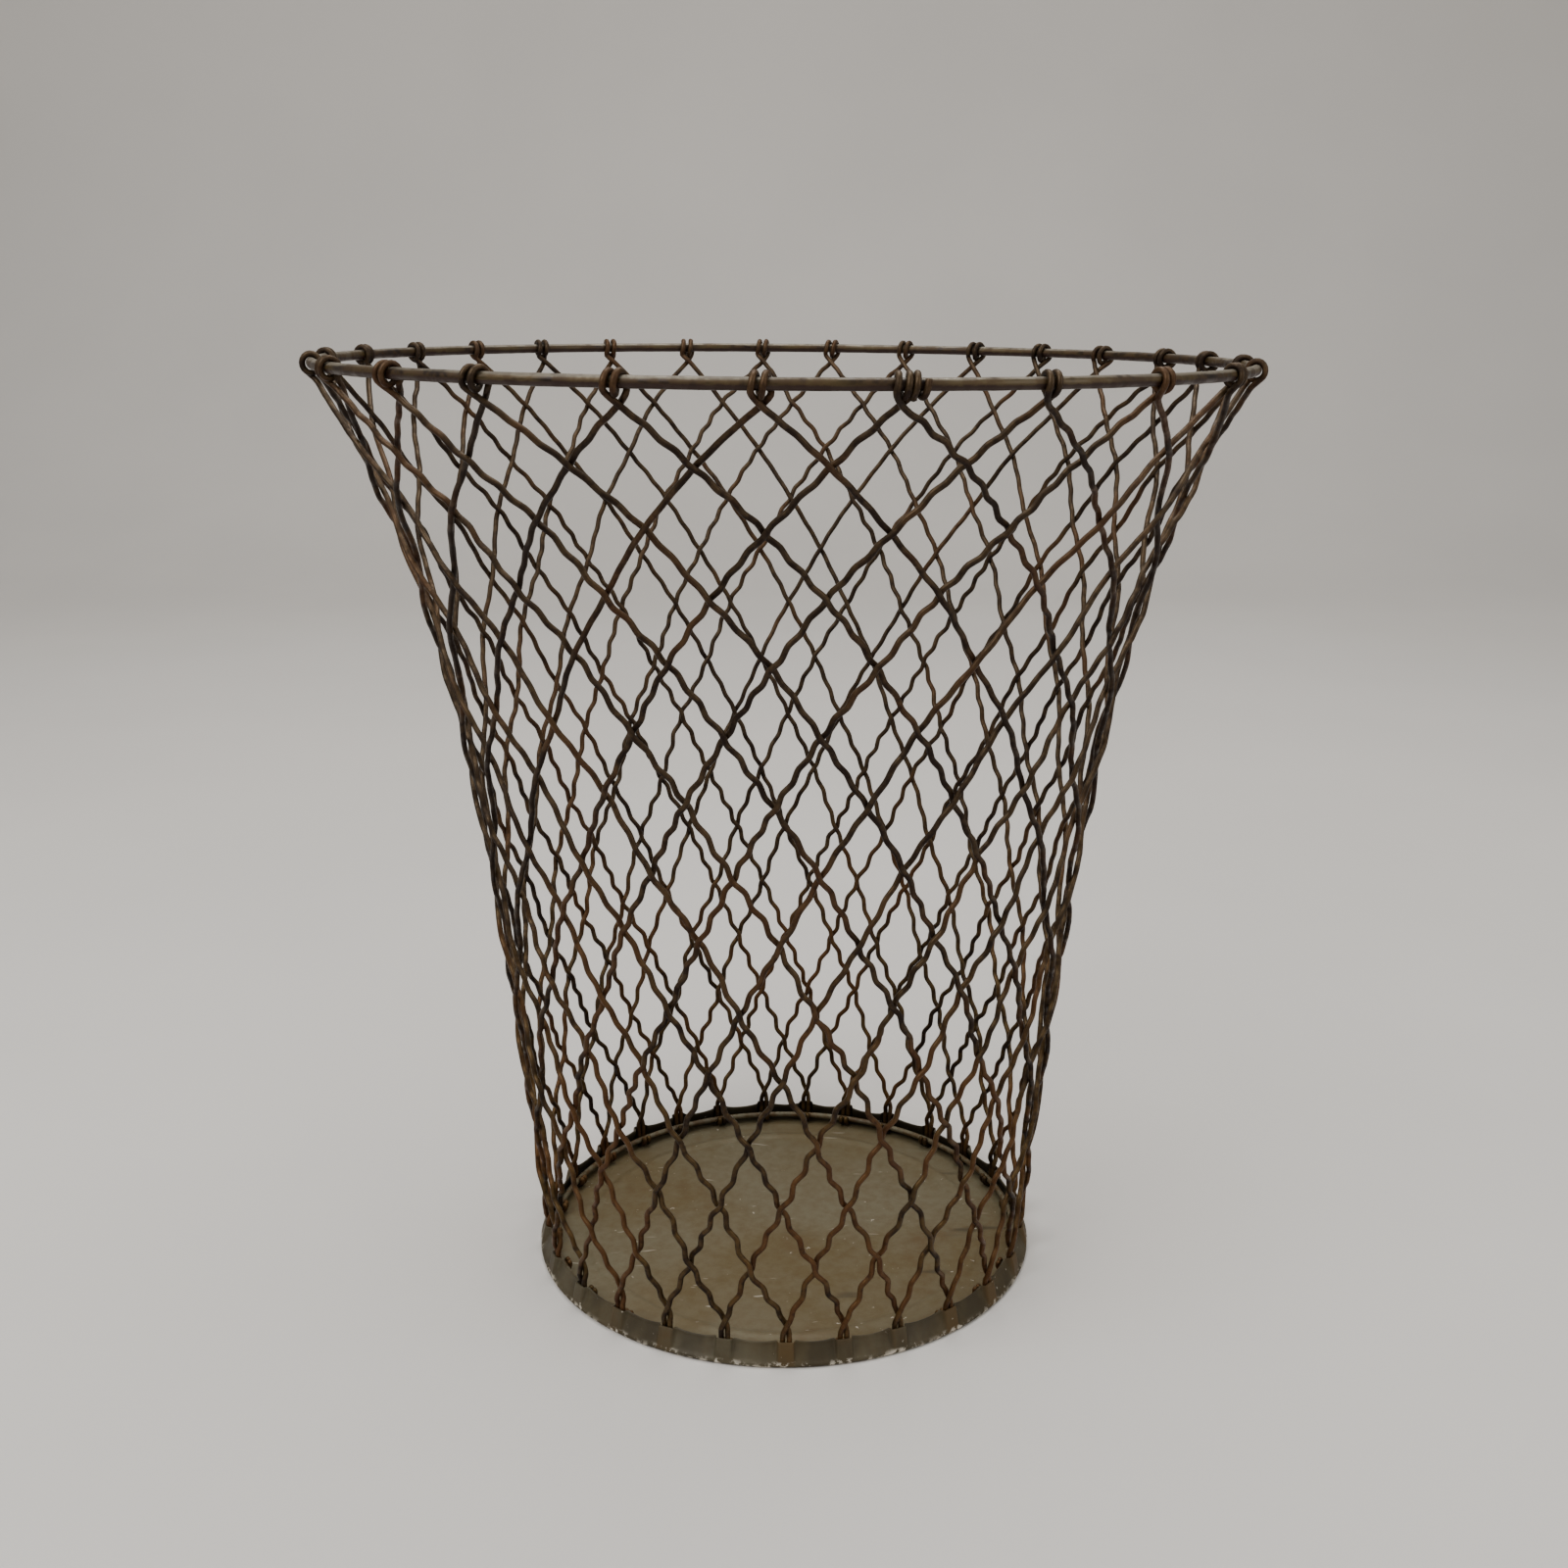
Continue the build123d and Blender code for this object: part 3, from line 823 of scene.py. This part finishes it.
def pan_section(sizes, inside, near):
    """Closed outline of the pan's sheet at one angle: rows of (radius, height, traits).

    The traits are how much the sheet is pleat, foot edge wear, and grimy wall with painted shade,
    darkest on the inner wall.
    """
    lip = sizes.lip_height + (sizes.pleat_height - sizes.lip_height) * near
    wall = []
    for step in range(13):
        height = WALL_START + (lip - WALL_START) * step / 12
        rise = (height - WALL_START) / (sizes.pleat_height - WALL_START)
        hollow = PAN_RADIUS - WALL_LEAN * min(rise * 1.25, 1.0) ** 0.8
        pleat = PAN_RADIUS - PLEAT_SETBACK - PLEAT_LEAN * rise**1.3
        wall.append((hollow + (pleat - hollow) * inside, height))
    edge = 0.45 + 0.55 * near
    # Third trait: soiling and painted shade, 0.6 on the outer wall, up to 1.0 on the inner wall,
    # 0.5 at the floor's outer edge and underneath.
    rows = [(PAN_RADIUS - r * MM, z * MM, (0.0, edge, 0.6)) for r, z in FOOT_CURVE]
    rows += [(r, z, (inside, edge * max(0.0, 1 - z / (3.2 * MM)), 0.6)) for r, z in wall]
    top_radius, top = wall[-1]
    for share in (0.15, 0.85):
        rows.append((top_radius - sizes.sheet * share, top + 0.14 * MM, (inside, 0.0, 0.7)))
    rows += [(r - sizes.sheet, max(z, sizes.sheet + 0.3 * MM), (0.0, 0.0, 1.0))
             for r, z in reversed(wall)]
    rows.append((PAN_RADIUS - 1.9 * MM, sizes.sheet + 0.05 * MM, (0.0, 0.0, 0.9)))
    floor = [(radius * MM, 0.0) for radius in FLOOR_RIM_RADII]
    for step in range(9):
        x = 1 - step / 4
        floor.append((BEAD_RADIUS + BEAD_HALF_WIDTH * x, sizes.bead_height * (1 - x * x)))
    floor += [(radius * MM, 0.0) for radius in FLOOR_RADII]
    rows += [(r, sizes.sheet + z, (0.0, 0.0, 0.5 if r > 98 * MM else 0.0)) for r, z in floor]
    rows += [(r, z, (0.0, 0.0, 0.5)) for r, z in reversed(floor)]
    return rows


def pan_mesh(sizes):
    """Vertices, faces and traits of the whole pan."""
    verts, traits = [], []
    for step in range(PAN_STEPS):
        angle = 2 * math.pi * step / PAN_STEPS
        section = pan_section(sizes, *pleat_share(sizes, angle))
        stray = WALL_STRAY * (math.sin(5 * angle + 1.0) - 1)
        for radius, height, trait in section:
            reach = radius + stray * (height > 2 * MM)
            verts.append((reach * math.cos(angle), reach * math.sin(angle), height))
            traits.append(trait)
    count = len(section)
    centre = next(i for i in range(count - 1) if section[i][0] == section[i + 1][0] == 5 * MM)
    faces = []
    for step in range(PAN_STEPS):
        here, there = step * count, (step + 1) % PAN_STEPS * count
        for i in range(count):
            k = (i + 1) % count
            if i != centre:
                faces.append((here + i, there + i, there + k, here + k))
    faces.append([step * count + centre for step in range(PAN_STEPS)])
    faces.append([step * count + centre + 1 for step in reversed(range(PAN_STEPS))])
    return verts, faces, traits


# ---------------------------------------------------------------- operators

class BuildRim(bpy.types.Operator):
    """Builds the rim rod"""
    bl_idname = "wastebasket.build_rim"
    bl_label = "Build rim rod"

    def execute(self, context):
        sizes = context.scene.basket_sizes
        draw = random.Random(SEED)
        path = ring_path(RIM_RADIUS, RIM_HEIGHT, RIM_DIP, sizes.rod_unevenness * 0.4, 900, draw)
        rod = round_bar("rim_rod", path, ROD_DIAMETER, 28,
                        rod_material(context.scene.basket_finish), draw, closed=True)
        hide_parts("rim_ring")
        return {"FINISHED"}


class BuildTieWire(bpy.types.Operator):
    """Builds the short binding wire beside one hitch"""
    bl_idname = "wastebasket.build_tie_wire"
    bl_label = "Build binding wire"

    def execute(self, context):
        sizes = context.scene.basket_sizes
        draw = random.Random(SEED + 1)
        angle = net_angle(sizes, TIE_HITCH, 0) + slide(TIE_HITCH, 0)
        points = winding(sizes, angle, TIE_TURN, TIE_START, sizes.hitch_pitch)
        tail = Vector(points[0]) + Vector((0, 0, -TIE_TAIL))
        path = smooth_path([tuple(tail)] + points, 0.6 * MM)
        wire = round_bar("rim_tie_wire_visible", path, sizes.wire_diameter, 12,
                         wire_material(context.scene.basket_finish), draw)
        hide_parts("rim_tie_wire")
        return {"FINISHED"}


class BuildNet(bpy.types.Operator):
    """Builds every hairpin wire of the net"""
    bl_idname = "wastebasket.build_net"
    bl_label = "Build net wires"

    def execute(self, context):
        sizes = context.scene.basket_sizes
        material = wire_material(context.scene.basket_finish)
        for index, node in enumerate(WIRE_NODES):
            draw = random.Random(SEED + 10 + index)
            path = hairpin_path(sizes, index, draw)
            wire = round_bar(f"net_wire_{index + 1:02d}", path, sizes.wire_diameter, 10,
                             material, draw)
            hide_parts(node)
        return {"FINISHED"}


def hairpin_path(sizes, index, draw):
    """Centre line of one hairpin: up one leg, round the rod, down the other."""
    pitch = sizes.hitch_pitch * draw.uniform(0.94, 1.08)
    angle = net_angle(sizes, index, 0) + slide(index, 0)
    half_width = pitch * (HITCH_TURN[0] - HITCH_TURN[1]) / 720
    turns = winding(sizes, angle, HITCH_TURN, half_width, -pitch)
    legs = []
    for side in (-1, 1):
        legs.append(crossing_under_rim(sizes, index, side) + leg_points(sizes, index, side)
                    + hook_points(sizes, index, side))
    points = legs[0][::-1] + turns + legs[1]
    path = smooth_path(points, 1.1 * MM)
    run = run_length(path)
    rim_zone = path[:, 2] > row_height(0) - 1.0 * MM
    foot = row_height(sizes.rows)
    first_leg = run[np.argmax(path[:, 2] > foot)], run[np.argmax(rim_zone)]
    last_rim = len(run) - 1 - np.argmax(rim_zone[::-1])
    last_foot = len(run) - 1 - np.argmax((path[:, 2] > foot)[::-1])
    return crimp(sizes, path, (first_leg, (run[last_rim], run[last_foot])), draw)


class BuildHoop(bpy.types.Operator):
    """Builds the hoop inside the pan's wall"""
    bl_idname = "wastebasket.build_hoop"
    bl_label = "Build hoop"

    def execute(self, context):
        draw = random.Random(SEED + 2)
        path = ring_path(HOOP_RADIUS, HOOP_HEIGHT, 0.0, 0.08 * MM, 540, draw)
        material = hoop_material(context.scene.basket_finish)
        hoop = round_bar("hoop_wire", path, HOOP_DIAMETER, 14,
                         material, draw, closed=True)
        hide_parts("base_hoop")
        return {"FINISHED"}


class BuildPan(bpy.types.Operator):
    """Builds the pressed pan with its pleated wall"""
    bl_idname = "wastebasket.build_pan"
    bl_label = "Build pan"

    def execute(self, context):
        verts, faces, traits = pan_mesh(context.scene.basket_sizes)
        pan = new_object("pan_sheet_metal", verts, faces,
                         pan_material(context.scene.basket_finish))
        for name, values in zip(("pleat", "foot_edge", "grime_and_shade"), zip(*traits)):
            attribute = pan.data.attributes.new(name, "FLOAT", "POINT")
            attribute.data.foreach_set("value", values)
        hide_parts("base_pan")
        return {"FINISHED"}


class BuildStage(bpy.types.Operator):
    """Sets up the floor, the light and the camera"""
    bl_idname = "wastebasket.build_stage"
    bl_label = "Build stage"

    def execute(self, context):
        stage = context.scene.basket_stage
        backdrop(stage)
        soft_lights(stage)
        world = bpy.data.worlds.new("soft_room")
        world.use_nodes = True
        world.node_tree.nodes["Background"].inputs["Color"].default_value = (1.0, 0.98, 0.95, 1.0)
        world.node_tree.nodes["Background"].inputs["Strength"].default_value = 0.32
        context.scene.world = world
        camera_data = bpy.data.cameras.new("front_camera")
        camera_data.lens = stage.focal_length
        camera_data.sensor_width = 36.0
        camera = bpy.data.objects.new("front_camera", camera_data)
        camera.location = CAMERA_PLACE
        camera.rotation_euler = (CAMERA_TILT, 0.0, 0.0)
        camera_data.clip_start = 0.01
        context.scene.collection.objects.link(camera)
        context.scene.camera = camera
        return {"FINISHED"}


def backdrop(stage):
    """Floor that curves up into a wall behind."""
    half_width, front, bend_start, bend, top = 6.0, -6.0, 1.6, 0.8, 4.0
    line = [(front, 0.0), (0.0, 0.0), (bend_start, 0.0)]
    for step in range(1, 13):
        turn = math.pi / 2 * step / 12
        line.append((bend_start + bend * math.sin(turn), bend - bend * math.cos(turn)))
    line.append((bend_start + bend, top))
    verts = [(x, y, z) for y, z in line for x in (-half_width, half_width)]
    faces = [(2 * i, 2 * i + 1, 2 * i + 3, 2 * i + 2) for i in range(len(line) - 1)]
    mesh = bpy.data.meshes.new("floor")
    mesh.from_pydata(verts, [], faces)
    mesh.polygons.foreach_set("use_smooth", [True] * len(mesh.polygons))
    floor = bpy.data.objects.new("floor", mesh)
    mesh.materials.append(floor_material(stage))
    bpy.context.scene.collection.objects.link(floor)


def soft_lights(stage):
    """One broad main light, a wide fill and a soft light from above."""
    lamps = (
        ("main_light", (-1.1, -1.0, 1.7), 1.6, stage.light),
        ("fill_light", (1.6, -0.9, 1.1), 1.8, stage.light * 0.45),
        ("top_light", (0.1, 0.5, 2.0), 1.6, stage.light * 0.8),
    )
    for name, place_at, size, power in lamps:
        data = bpy.data.lights.new(name, "AREA")
        data.shape = "DISK"
        data.size = size
        data.energy = power
        lamp = bpy.data.objects.new(name, data)
        lamp.location = place_at
        aim = Vector((0.0, 0.0, 0.15)) - Vector(place_at)
        lamp.rotation_euler = aim.to_track_quat("-Z", "Y").to_euler()
        bpy.context.scene.collection.objects.link(lamp)


class WastebasketPanel(bpy.types.Panel):
    """Sidebar panel that lists the pieces and the settings"""
    bl_idname = "VIEW3D_PT_wastebasket"
    bl_label = "Wastebasket"
    bl_space_type = "VIEW_3D"
    bl_region_type = "UI"
    bl_category = "Wastebasket"

    def draw(self, context):
        for operator in OPERATORS:
            self.layout.operator(operator.bl_idname)
        for group in (context.scene.basket_sizes, context.scene.basket_finish,
                      context.scene.basket_stage):
            box = self.layout.box()
            for name in group.__annotations__:
                box.prop(group, name)


OPERATORS = (BuildRim, BuildTieWire, BuildNet, BuildHoop, BuildPan, BuildStage)
SETTINGS = (BasketSizes, BasketFinish, BasketStage)


def register():
    """Registers the settings, the operators and the panel."""
    for cls in SETTINGS + OPERATORS + (WastebasketPanel,):
        bpy.utils.register_class(cls)
    bpy.types.Scene.basket_sizes = bpy.props.PointerProperty(type=BasketSizes)
    bpy.types.Scene.basket_finish = bpy.props.PointerProperty(type=BasketFinish)
    bpy.types.Scene.basket_stage = bpy.props.PointerProperty(type=BasketStage)


def unregister():
    """Removes what register added."""
    del bpy.types.Scene.basket_stage
    del bpy.types.Scene.basket_finish
    del bpy.types.Scene.basket_sizes
    for cls in reversed(SETTINGS + OPERATORS + (WastebasketPanel,)):
        bpy.utils.unregister_class(cls)


def main():
    """Registers the add-on and runs each operator in order."""
    register()
    bpy.ops.wastebasket.build_rim()
    bpy.ops.wastebasket.build_tie_wire()
    bpy.ops.wastebasket.build_net()
    bpy.ops.wastebasket.build_hoop()
    bpy.ops.wastebasket.build_pan()
    bpy.ops.wastebasket.build_stage()


if __name__ == "__main__":
    main()
